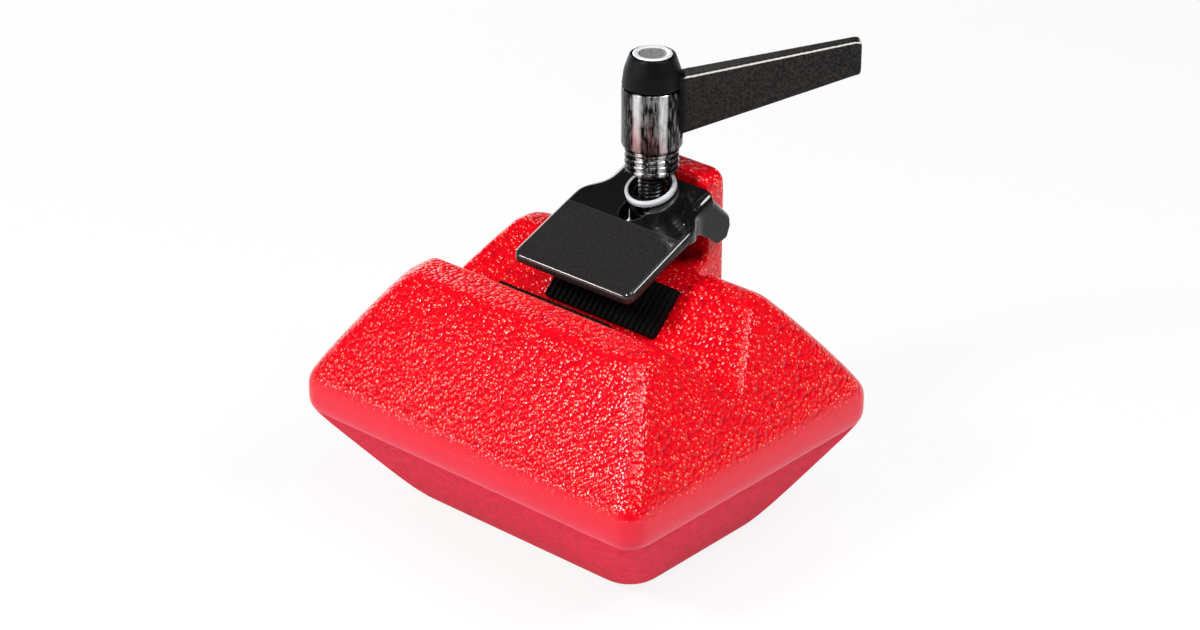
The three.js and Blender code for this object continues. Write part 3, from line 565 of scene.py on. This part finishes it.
def plateSection(place, normal):
    # the sheet's section at one place on the outline, from the top's edge over the bend and under
    p = plate
    share = min(max((place.y - p["bendFromY"]) / p["bendOverY"], 0), 1)
    share = share * share * (3 - 2 * share)
    bend = p["edgeBend"] + (p["channelBend"] - p["edgeBend"]) * share
    inner = max(bend - p["sheet"], p["innerBend"])
    drop = p["lip"] + max(place.y - p["deepenY"], 0) * p["deepenRate"]
    drop += max(place.y - p["earY"], 0) * p["earRate"]
    section = []
    for step in range(7):
        turn = math.radians(15 * step)
        section.append((bend * (1 - math.sin(turn)), bend * (1 - math.cos(turn))))
    section += [(0, drop), (p["sheet"], drop)]
    for step in range(4):
        turn = math.radians(90 - 30 * step)
        inward, down = inner * (1 - math.sin(turn)), inner * (1 - math.cos(turn))
        section.append((p["sheet"] + inward, p["sheet"] + down))
    return [Vector((*(place - normal * inset), plateZ(place.y - normal.y * inset) - down)) * mm
            for inset, down in section]


def makePlate():
    # the section, extruded from place to place round the outline, then closed above, below and behind
    right = plateOutline()
    left = [(Vector((-place.x, place.y)), Vector((-normal.x, normal.y)))
            for place, normal in reversed(right[1:])]
    columns = [plateSection(place, normal) for place, normal in left + right]
    bm = bmesh.new()
    column = [bm.verts.new(spot) for spot in columns[0]]
    chain = [bm.edges.new(pair) for pair in zip(column, column[1:])]
    first, tops, unders = column, [column[0]], [column[-1]]
    for spots in columns[1:]:
        chain = ofKind(bmesh.ops.extrude_edge_only(bm, edges=chain)["geom"], bmesh.types.BMEdge)
        bm.verts.ensure_lookup_table()
        column = bm.verts[-len(spots):]
        for vert, spot in zip(column, spots):
            vert.co = spot
        tops.append(column[0])
        unders.append(column[-1])
    bm.faces.new(tops)
    bm.faces.new(list(reversed(unders)))
    bm.faces.new(first + list(reversed(column)))
    bmesh.ops.recalc_face_normals(bm, faces=bm.faces)
    return bm


def makeSlotSolid(wall=0):
    # the slot's outline, raised through the whole plate, and wider by a wall
    p = plate
    bm = bmesh.new()
    radius = (p["slotHalf"] + wall) * mm
    made = bmesh.ops.create_circle(bm, cap_ends=True, radius=radius, segments=48)["verts"]
    rearMove = (p["slotRearY"] - p["slotFrontY"] - 2 * p["slotHalf"]) * mm
    bmesh.ops.translate(bm, verts=[vert for vert in made if vert.co.y > 0], vec=(0, rearMove, 0))
    bmesh.ops.translate(bm, verts=made, vec=(0, (p["slotFrontY"] + p["slotHalf"]) * mm, p["cutFromZ"] * mm))
    lifted = bmesh.ops.extrude_face_region(bm, geom=list(bm.faces))["geom"]
    bmesh.ops.translate(bm, verts=ofKind(lifted, bmesh.types.BMVert), vec=(0, 0, p["cutHeight"] * mm))
    bmesh.ops.recalc_face_normals(bm, faces=bm.faces)
    return bm


def makeEar(side):
    # a flat tab outside the post that the channel's wall runs into over a falling shoulder
    bm = bmesh.new()
    inner = side * (plate["channelHalf"] - earLayers[0][0])
    rim = [bm.verts.new(Vector((inner, y, z)) * mm) for (y, z), fall in earOutline]
    tab = bm.faces.new(rim)
    for inset, share in earLayers[1:]:
        made = bmesh.ops.extrude_face_region(bm, geom=[tab])["geom"]
        tab = ofKind(made, bmesh.types.BMFace)[0]
        fresh = set(ofKind(made, bmesh.types.BMVert))
        rim = [next(edge.other_vert(vert) for edge in vert.link_edges if edge.other_vert(vert) in fresh)
               for vert in rim]
        for vert, ((y, z), (dy, dz)) in zip(rim, earOutline):
            vert.co = Vector((side * (plate["channelHalf"] - inset), y + share * dy, z + share * dz)) * mm
    bmesh.ops.recalc_face_normals(bm, faces=bm.faces)
    return bm


def trimOff(bm, place, outward):
    # cuts off all that lies beyond a plane and closes the cut
    geometry = list(bm.verts) + list(bm.edges) + list(bm.faces)
    cut = bmesh.ops.bisect_plane(bm, geom=geometry, plane_co=place * mm, plane_no=outward, clear_outer=True)
    bmesh.ops.holes_fill(bm, edges=ofKind(cut["geom_cut"], bmesh.types.BMEdge))


def makeSlotShadeSkirt():
    # a dark wall hung under the slot's front edge, deeper than the sheet, as painted shade in the slot
    p = plate
    bm = makeSlotSolid(p["shadeSkirtWall"])
    level = Vector((0, p["slotFrontY"], plateZ(p["slotFrontY"])))
    sheetUp = Vector((0, -p["rearSlope"], 1))
    trimOff(bm, Vector((0, p["shadeSkirtEndY"], 0)), Vector((0, 1, 0)))
    trimOff(bm, level - Vector((0, 0, p["shadeSkirtSunk"])), sheetUp)
    trimOff(bm, level - Vector((0, 0, p["shadeSkirtDepth"])), -sheetUp)
    bmesh.ops.recalc_face_normals(bm, faces=bm.faces)
    return bm


sheet = makePiece("clamp_plate_pressed", makePlate(), [plateMaterial])
cutAway(sheet, makePiece("slot_cutter", makeSlotSolid()))
# the dark skirt under the slot is painted shade, joined to the sheet
slotShadeSkirt = makePiece("slotShadeSkirt", makeSlotShadeSkirt())
cutAway(slotShadeSkirt, makePiece("shade_skirt_cutter", makeSlotSolid()))
joined = bmesh.new()
joined.from_mesh(sheet.data)
for part in (slotShadeSkirt, makePiece("left_ear", makeEar(-1)), makePiece("right_ear", makeEar(1))):
    joined.from_mesh(part.data)
    bpy.data.objects.remove(part)
joined.to_mesh(sheet.data)
joined.free()
remeshPiece(sheet, plate["voxelMm"], plate["rounds"])
placePiece(sheet, "clamp", "clamp_plate", sharpAngle=80)


# washers: the dished one lies tilted on the plate, the cupped one level under it round the spring's end

washer = {
    "radius": 7.8, "bore": 5.1, "sheet": 1.2, "height": 1.9, "rim": 1.1, "clearance": 0.3,
    "chamfer": 0.25, "ease": 0.15, "crownEase": 0.2, "bowlFloorZ": 0.6,
    "bowlIn": 0.6, "bowlRise": 0.1, "bowlSink": 0.05,
}
cup = {"radius": 6.5, "bore": 4.4, "inner": 6.0, "depth": 3.8, "chamfer": 0.2, "ease": 0.15}


def makeDishedWasher():
    w = washer
    radius, bore, high = w["radius"], w["bore"], w["height"]
    foot = radius - w["sheet"]
    rimIn = radius - w["rim"]
    rimLow = w["sheet"] - w["rim"]
    bm = spinProfile([
        (bore, w["chamfer"]), (bore + w["chamfer"], 0), (foot, 0),
        (radius - w["ease"], rimLow), (radius, rimLow + w["chamfer"]), (radius, high - w["chamfer"]),
        (radius - w["crownEase"], high), (rimIn + w["ease"], high), (rimIn, high - w["ease"]),
        (foot - w["bowlRise"], w["sheet"] + w["bowlRise"]),
        (foot - w["bowlIn"], w["sheet"] - w["bowlSink"]),
        (bore + w["chamfer"], w["sheet"]), (bore, w["sheet"] - w["chamfer"]), (bore, w["chamfer"]),
    ])
    # its bowl is given the stud's dark steel as painted shade, and only its rim is bright
    for face in bm.faces:
        middle = face.calc_center_median() / mm
        inBowl = math.hypot(middle.x, middle.y - screwLineY / mm) < rimIn
        face.material_index = 1 if inBowl and middle.z > w["bowlFloorZ"] else 0
    tilt = math.atan(plate["rearSlope"])
    seatZ = (plateZ(screwLineY / mm) + w["clearance"] / math.cos(tilt)) * mm
    bmesh.ops.rotate(bm, verts=bm.verts, cent=(0, screwLineY, 0), matrix=Matrix.Rotation(tilt, 3, "X"))
    bmesh.ops.translate(bm, verts=bm.verts, vec=(0, 0, seatZ))
    return bm


def makeCuppedWasher():
    c = cup
    low, high = boxHeights("spring_washer")
    rimLow = low - c["depth"]
    return spinProfile([
        (c["bore"], low + c["chamfer"]), (c["bore"] + c["chamfer"], low), (c["inner"], low),
        (c["inner"], rimLow), (c["radius"] - c["ease"], rimLow), (c["radius"], rimLow + c["ease"]),
        (c["radius"], high - c["chamfer"]), (c["radius"] - c["chamfer"], high),
        (c["bore"] + c["chamfer"], high), (c["bore"], high - c["chamfer"]), (c["bore"], low + c["chamfer"]),
    ])


dished = makePiece("dished_washer_bright", makeDishedWasher(), [zincMaterial, studMaterial])
placePiece(dished, "clamp", "dished_washer")
cupped = makePiece("cupped_washer_turned", makeCuppedWasher(), [studMaterial])
placePiece(cupped, "seat", "spring_washer")


# springs: ground ends, so the first and last three quarters of a turn lie almost flat

springs = {
    "lift_spring": {"radius": 5.25, "wire": 1.2, "turns": 4, "bodies": ("weight", "seat")},
    "lever_spring": {"radius": 3.3, "wire": 0.7, "turns": 3, "bodies": ("hub", "lever")},
}
springEnd = {"turns": 0.75, "riseShare": 0.9}
for node, spring in springs.items():
    low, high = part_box(node)
    wire = spring["wire"]
    bottom, top = low.z / mm + wire / 2, high.z / mm - wire / 2
    endRise = wire * springEnd["riseShare"]
    coil = makePiece(node + "_coil", coilUp(wire, spring["radius"], bottom, [
        (springEnd["turns"], endRise), (spring["turns"], top - bottom - 2 * endRise),
        (springEnd["turns"], endRise),
    ]), [springMaterial])
    placePiece(coil, None, node, sharpAngle=60)
    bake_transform(coil)


# the stud: a plain core with the thread wound round it

stud = {
    "radius": 4.0, "depth": 0.62, "pitch": 1.25, "chamfer": 0.4, "threadStart": 1.4, "bareEnds": 3,
    "crestHalf": 0.1, "crestEase": 0.06, "rootHalf": 0.62, "rootSunk": 0.2, "stepsPerTurn": 40,
}


def makeStud():
    s = stud
    low, high = boxHeights("lever_stud")
    core = s["radius"] - s["depth"]
    bm = spinProfile([
        (0, low), (core - s["chamfer"], low), (core, low + s["chamfer"]),
        (core, high - s["chamfer"]), (core - s["chamfer"], high), (0, high),
    ], 48)
    ridge = [
        (core - s["rootSunk"], -s["rootHalf"]), (s["radius"] - s["crestEase"], -s["crestHalf"]),
        (s["radius"], 0), (s["radius"] - s["crestEase"], s["crestHalf"]),
        (core - s["rootSunk"], s["rootHalf"]),
    ]
    start = low + s["threadStart"]
    rim = [bm.verts.new((reach * mm, screwLineY, (start + rise) * mm)) for reach, rise in ridge]
    end = bm.faces.new(rim)
    turns = math.floor((high - low - s["bareEnds"]) / s["pitch"])
    bmesh.ops.spin(bm, geom=[end] + list(end.edges) + list(end.verts), cent=(0, screwLineY, 0),
                   axis=(0, 0, 1), angle=turns * fullTurn, dvec=(0, 0, s["pitch"] * mm / s["stepsPerTurn"]),
                   steps=turns * s["stepsPerTurn"], use_duplicate=False)
    bmesh.ops.recalc_face_normals(bm, faces=bm.faces)
    return bm


threaded = makePiece("lever_stud_threaded", makeStud(), [studMaterial])
placePiece(threaded, "stud", "lever_stud", sharpAngle=35)


# the neck of the lever's insert: three turned grooves and soft shoulders

neck = {
    "radius": 8.0, "height": 7.5, "gap": 0.3, "crown": 5.7, "grooves": 3, "depth": 0.55, "ease": 0.3,
    # the foot's rounding, in from the radius and up, and a groove's section, along and share of its depth
    "foot": ((0.7, 0), (0.15, 0.2), (0, 0.6)),
    "groove": ((-0.62, 0), (-0.42, 0.25), (-0.18, 1), (0.18, 1), (0.42, 0.25), (0.62, 0)),
}


def makeNeck():
    n = neck
    low, high = boxHeights("lever_insert")
    top = low + n["height"] - n["gap"]
    profile = [(0, low)] + [(n["radius"] - inward, low + up) for inward, up in n["foot"]]
    for groove in range(n["grooves"]):
        middle = low + (groove + 1) * n["height"] / (n["grooves"] + 1)
        profile += [(n["radius"] - n["depth"] * share, middle + along) for along, share in n["groove"]]
    profile += [(n["radius"], top - n["ease"]), (n["radius"] - n["ease"], top)]
    profile += [(n["crown"], top), (n["crown"], high), (0, high)]
    return spinProfile(profile)


neckPiece = makePiece("lever_insert_turned", makeNeck(), [sleeveMaterial])
placePiece(neckPiece, "hub", "lever_insert", sharpAngle=35)


# the sleeve: bright tube with a slot from its top for the arm's root

sleeve = {
    "radius": 9.0, "inner": 8.2, "chamfer": 0.9, "chamferEase": 0.2, "footIn": 0.25, "footUp": 0.55,
    "topEase": 0.2, "boreEase": 0.1,
    "slotHalf": 4.15, "slotBottom": 111.4, "blockHalfLength": 7, "blockHalfHeight": 12, "blockOut": 10,
    "armTurn": 43.5,
}


def makeSleeve():
    s = sleeve
    radius, inner, ease = s["radius"], s["inner"], s["boreEase"]
    low, high = boxHeights("lever_sleeve")
    return spinProfile([
        (inner, low + ease), (inner + ease, low), (radius - s["chamfer"], low),
        (radius - s["footIn"], low + s["footUp"]), (radius, low + s["chamfer"] + s["chamferEase"]),
        (radius, high - s["topEase"]), (radius - s["topEase"], high),
        (inner + ease, high), (inner, high - ease), (inner, low + ease),
    ], 120)


def makeSlotBlock():
    # stands out from the axis the way the arm does
    s = sleeve
    bm = bmesh.new()
    armWay = Matrix.Rotation(math.radians(s["armTurn"]), 3, "Z")
    bmesh.ops.create_cube(bm, size=2 * mm)
    bmesh.ops.scale(bm, verts=bm.verts, vec=(s["blockHalfLength"], s["slotHalf"], s["blockHalfHeight"]))
    bmesh.ops.translate(bm, verts=bm.verts,
                        vec=(s["blockOut"] * mm, 0, (s["slotBottom"] + s["blockHalfHeight"]) * mm))
    bmesh.ops.rotate(bm, verts=bm.verts, cent=(0, 0, 0), matrix=armWay)
    bmesh.ops.translate(bm, verts=bm.verts, vec=(0, screwLineY, 0))
    return bm


sleevePiece = makePiece("lever_sleeve_bright", makeSleeve(), [sleeveMaterial])
cutAway(sleevePiece, makePiece("slot_block", makeSlotBlock()))
placePiece(sleevePiece, "lever", "lever_sleeve")


# the handle: hub and arm in one casting, softened where they run together

handle = {"voxelMm": 0.36, "rounds": 9}
handlePiece = makePiece("lever_handle_cast", takeCopy("lever_handle"), [leverMaterial])
remeshPiece(handlePiece, handle["voxelMm"], handle["rounds"])
placePiece(handlePiece, "lever", "lever_handle", sharpAngle=80)


# the cap: a plain dished disc in a bright rim

cap = {
    "radius": 5.8, "rim": 1.6, "footEase": 0.2, "middleDown": 0.5, "topDepth": 0.7, "rimBlend": 0.1,
    # sections of the rim and of the disc inside it: how far in, and how far down from the top
    "rimSection": ((0, 0.45), (0.15, 0.12), (0.45, 0), (0.8, 0.03)),
    "discSection": ((0, 0.3), (0.2, 0.55), (1.2, 0.6)),
}


def makeCap():
    c = cap
    low, high = boxHeights("lever_cap")
    radius, disc = c["radius"], c["radius"] - c["rim"]
    bm = spinProfile(
        [(0, low), (radius - c["footEase"], low), (radius, low + c["footEase"])]
        + [(radius - inward, high - down) for inward, down in c["rimSection"]]
        + [(disc - inward, high - down) for inward, down in c["discSection"]]
        + [(0, high - c["middleDown"])]
    )
    # black below, the rim bright as a painted highlight, the disc grey
    for face in bm.faces:
        middle = face.calc_center_median() - Vector((0, screwLineY, 0))
        reach = math.hypot(middle.x, middle.y) / mm
        if middle.z > (high - c["topDepth"]) * mm:
            face.material_index = 1 if reach > disc - c["rimBlend"] else 2
    return bm


capPiece = makePiece("lever_cap_plain", makeCap(), [leverMaterial, zincMaterial, capMaterial])
placePiece(capPiece, "lever", "lever_cap", sharpAngle=50)


# the screw inside the hub keeps its CAD mesh and takes the turned steel

nodes["lever_screw"].data.materials.clear()
nodes["lever_screw"].data.materials.append(sleeveMaterial)


# floor, background and lamps

studio = {
    "floor": 3.0, "floorDownMm": 0.05, "floorWhite": "#f6f6f6", "glow": 0.86,
    "fibreMm": 2.5, "fibreBumpMm": 0.05,
    # the light from all round is a little blue, given as a linear colour
    "ambientTint": (0.86, 0.86, 1.0, 1.0), "ambient": 0.16, "ceiling": 0.03, "ceilingFrom": 0.2,
}


def makeFloor():
    # white paper: the lamps fall on it, and the camera and mirrors see most of it glow
    bm = bmesh.new()
    bmesh.ops.create_grid(bm, x_segments=1, y_segments=1, size=studio["floor"])
    bmesh.ops.translate(bm, verts=bm.verts, vec=(0, 0, -studio["floorDownMm"] * mm))
    material, tree, shader, place = newMaterial("white_paper_sweep", {
        "Roughness": 0.9, "Base Color": hexColour(studio["floorWhite"]),
    })
    fibre = addNode(tree, "ShaderNodeTexNoise", {"Scale": 1 / (studio["fibreMm"] * mm)}, {"Vector": place})
    paper = addNode(tree, "ShaderNodeBump", {"Strength": 0.05, "Distance": studio["fibreBumpMm"] * mm},
                    {"Height": fibre.outputs["Fac"]})
    tree.links.new(paper.outputs[0], shader.inputs["Normal"])
    glow = addNode(tree, "ShaderNodeEmission", {"Color": (1, 1, 1, 1), "Strength": 1.0})
    rays = addNode(tree, "ShaderNodeLightPath")
    seen = addNode(tree, "ShaderNodeMath", {"operation": "MAXIMUM"},
                   {0: rays.outputs["Is Camera Ray"], 1: rays.outputs["Is Glossy Ray"]})
    seenAll = addNode(tree, "ShaderNodeMath", {"operation": "MAXIMUM"},
                      {0: seen.outputs[0], 1: rays.outputs["Is Transmission Ray"]})
    share = addNode(tree, "ShaderNodeMath", {"operation": "MULTIPLY", 1: studio["glow"]},
                    {0: seenAll.outputs[0]})
    mixed = addNode(tree, "ShaderNodeMixShader", {},
                    {0: share.outputs[0], 1: shader.outputs[0], 2: glow.outputs[0]})
    tree.links.new(mixed.outputs[0], tree.nodes["Material Output"].inputs["Surface"])
    return makePiece("floor", bm, [material])


def makeBackground():
    # the sweep stays white up to the horizon and the studio's ceiling above it is dim
    world = bpy.data.worlds.new("studio")
    bpy.context.scene.world = world
    world.use_nodes = True
    tree = world.node_tree
    ambient = tree.nodes["Background"]
    ambient.inputs["Color"].default_value = studio["ambientTint"]
    ambient.inputs["Strength"].default_value = studio["ambient"]
    direction = addNode(tree, "ShaderNodeTexCoord")
    upward = addNode(tree, "ShaderNodeSeparateXYZ", {}, {0: direction.outputs["Generated"]})
    dimming = addNode(tree, "ShaderNodeValToRGB", {}, {"Fac": upward.outputs["Z"]})
    setStops(dimming, [(0.0, 1.0), (studio["ceilingFrom"], studio["ceiling"])])
    mirrored = addNode(tree, "ShaderNodeBackground", {"Strength": 1.0}, {"Color": dimming.outputs["Color"]})
    white = addNode(tree, "ShaderNodeBackground", {"Color": (1, 1, 1, 1), "Strength": 1.0})
    rays = addNode(tree, "ShaderNodeLightPath")
    gloss = addNode(tree, "ShaderNodeMixShader", {},
                    {0: rays.outputs["Is Glossy Ray"], 1: ambient.outputs[0], 2: mirrored.outputs[0]})
    seen = addNode(tree, "ShaderNodeMath", {"operation": "MAXIMUM"},
                   {0: rays.outputs["Is Camera Ray"], 1: rays.outputs["Is Transmission Ray"]})
    mixed = addNode(tree, "ShaderNodeMixShader", {},
                    {0: seen.outputs[0], 1: gloss.outputs[0], 2: white.outputs[0]})
    tree.links.new(mixed.outputs[0], tree.nodes["World Output"].inputs["Surface"])


def towards(azimuth, elevation):
    # azimuth 0 is in front of the object and 90 at its right
    a, e = math.radians(azimuth), math.radians(elevation)
    return Vector((math.sin(a) * math.cos(e), -math.cos(a) * math.cos(e), math.sin(e)))


floorPiece = makeFloor()
makeBackground()

lamps = {
    "key": {"turn": -12, "rise": 41, "away": 0.9, "size": 0.18, "watts": 4.6},
    "frontLeft": {"turn": -38, "rise": 12, "away": 0.9, "size": 0.1, "watts": 0.8},
    "right": {"turn": 106, "rise": 48, "away": 0.9, "size": 0.34, "watts": 4.0},
    "backLeft": {"turn": -112, "rise": 14, "away": 0.9, "size": 0.6, "watts": 2.6},
    "front": {"turn": 48, "rise": 63, "away": 0.9, "size": 0.3, "watts": 1.8},
    "top": {"turn": 10, "rise": 85, "away": 1.0, "size": 0.6, "watts": 0.6},
}
lampTarget = Vector((0, 0, 60 * mm))
for name, lamp in lamps.items():
    data = bpy.data.lights.new(name, "AREA")
    data.shape = "DISK"
    data.size = lamp["size"]
    data.energy = lamp["watts"]
    light = bpy.data.objects.new(name, data)
    bpy.context.scene.collection.objects.link(light)
    back = towards(lamp["turn"], lamp["rise"])
    light.location = lampTarget + back * lamp["away"]
    light.rotation_euler = back.to_track_quat("Z", "Y").to_euler()
print("studio lit")


# the photograph's camera

view = {
    "turn": 41.84, "rise": 26.76, "awayMm": 949.2, "targetMm": (5.79, 0, 65.33),
    "lens": 98.3, "sensor": 36, "clipStart": 0.01,
}
cameraData = bpy.data.cameras.new("camera")
cameraData.lens = view["lens"]
cameraData.sensor_width = view["sensor"]
cameraData.clip_start = view["clipStart"]
camera = bpy.data.objects.new("camera", cameraData)
bpy.context.scene.collection.objects.link(camera)
back = towards(view["turn"], view["rise"])
camera.location = Vector(view["targetMm"]) * mm + back * view["awayMm"] * mm
camera.rotation_euler = back.to_track_quat("Z", "Y").to_euler()
bpy.context.scene.camera = camera
bpy.context.scene.view_settings.view_transform = "Standard"
